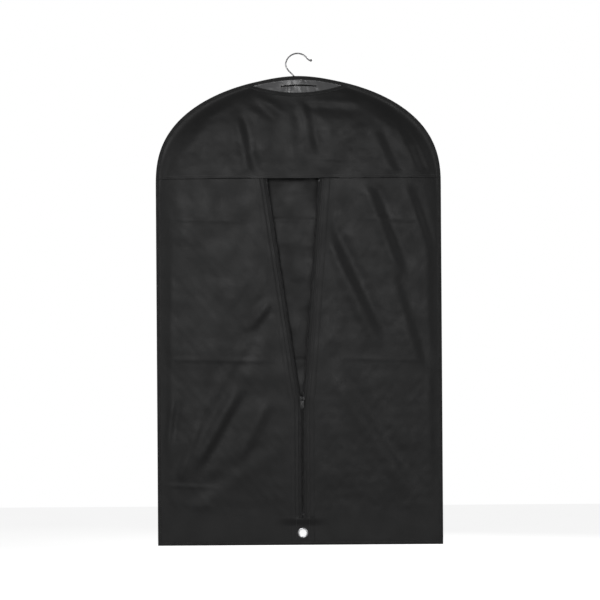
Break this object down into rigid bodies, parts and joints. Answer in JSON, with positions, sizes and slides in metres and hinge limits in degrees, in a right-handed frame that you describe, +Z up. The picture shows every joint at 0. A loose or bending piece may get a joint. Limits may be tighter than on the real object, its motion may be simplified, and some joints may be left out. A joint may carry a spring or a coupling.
{
  "type": "garment bag",
  "caption": "Hanging garment bag with an arched yoke, a part-open centre-front zip, a bottom eyelet and a hanger whose swivel hook comes out of the neck opening.",
  "frame": {"origin": "the inside of the hook's crown, where it rests on a rail", "axes": "+Z up, front of the bag towards -Y, +X to the right seen from the front"},
  "size_m": [0.6, 0.0386, 1.036],
  "materials": {
    "shell_fabric": "smooth embossed non-woven cloth with a faint sheen",
    "insert_film": "satin grey film",
    "binding_tape": "folded woven binding with a stitched edge",
    "zip_tape": "fine knitted tape",
    "zip_coil": "black nylon coil",
    "zip_metal": "dark enamelled die-cast",
    "eyelet_steel": "nickel-plated",
    "hook_steel": "bright plated wire",
    "hanger_plastic": "black moulded, satin"
  },
  "bodies": {
    "bag": {"back_panel": "shell_fabric", "back_side_left": "shell_fabric", "back_side_right": "shell_fabric", "back_shoulders": "shell_fabric", "yoke_panel": "shell_fabric", "neck_insert": "insert_film", "neck_insert_binding": "binding_tape", "neck_binding_front": "binding_tape", "neck_binding_back": "binding_tape", "side_binding_left": "binding_tape", "side_binding_right": "binding_tape", "bottom_hem": "binding_tape", "yoke_hem_tape": "binding_tape", "front_panel_left": "shell_fabric", "front_panel_right": "shell_fabric", "eyelet_front": "eyelet_steel", "eyelet_back": "eyelet_steel", "hanger_body": "hanger_plastic", "hanger_bar": "hanger_plastic", "hanger_ferrule": "hook_steel", "zip_tape_lower_left": "zip_tape", "zip_tape_lower_right": "zip_tape", "zip_coil_lower_left": "zip_coil", "zip_coil_lower_right": "zip_coil", "zip_bottom_stop": "zip_metal"},
    "hook": {"hook_wire": "hook_steel", "hook_tip": "hook_steel"},
    "left_flap": {"zip_flap_left": "shell_fabric", "zip_tape_upper_left": "zip_tape", "zip_coil_upper_left": "zip_coil", "zip_top_stop_left": "zip_metal"},
    "right_flap": {"zip_flap_right": "shell_fabric", "zip_tape_upper_right": "zip_tape", "zip_coil_upper_right": "zip_coil", "zip_top_stop_right": "zip_metal"},
    "zip_slider": {"zip_slider_body": "zip_metal", "zip_slider_back_plate": "zip_metal"},
    "zip_puller": {"zip_puller": "zip_metal"}
  },
  "joints": [
    {"name": "hook_swivel", "type": "hinge", "parent": "bag", "child": "hook", "pos_m": [0, 0, -0.07], "axis": [0, 0, 1], "continuous": true},
    {"name": "zip_slide", "type": "slide", "parent": "bag", "child": "zip_slider", "axis": [0, -0.011, 0.9999], "range_m": [-0.234, 0.45]},
    {"name": "mouth_left", "type": "hinge", "parent": "bag", "child": "left_flap", "pos_m": [0.005, -0.00667, -0.745], "axis": [0, 0.9999, 0.011], "range_deg": [-4.5, 8.5]},
    {"name": "mouth_right", "type": "hinge", "parent": "bag", "child": "right_flap", "pos_m": [0.005, -0.00667, -0.745], "axis": [0, 0.9999, 0.011], "range_deg": [-4.6, 2.5]},
    {"name": "puller_swing", "type": "hinge", "parent": "zip_slider", "child": "zip_puller", "pos_m": [0.005, -0.0108, -0.72404], "axis": [-1, 0, 0], "range_deg": [0, 170]}
  ],
  "couplings": [
    {"joint": "mouth_left", "follows": "zip_slide", "rad_per_m": 0.32192},
    {"joint": "mouth_right", "follows": "zip_slide", "rad_per_m": -0.17065}
  ]
}
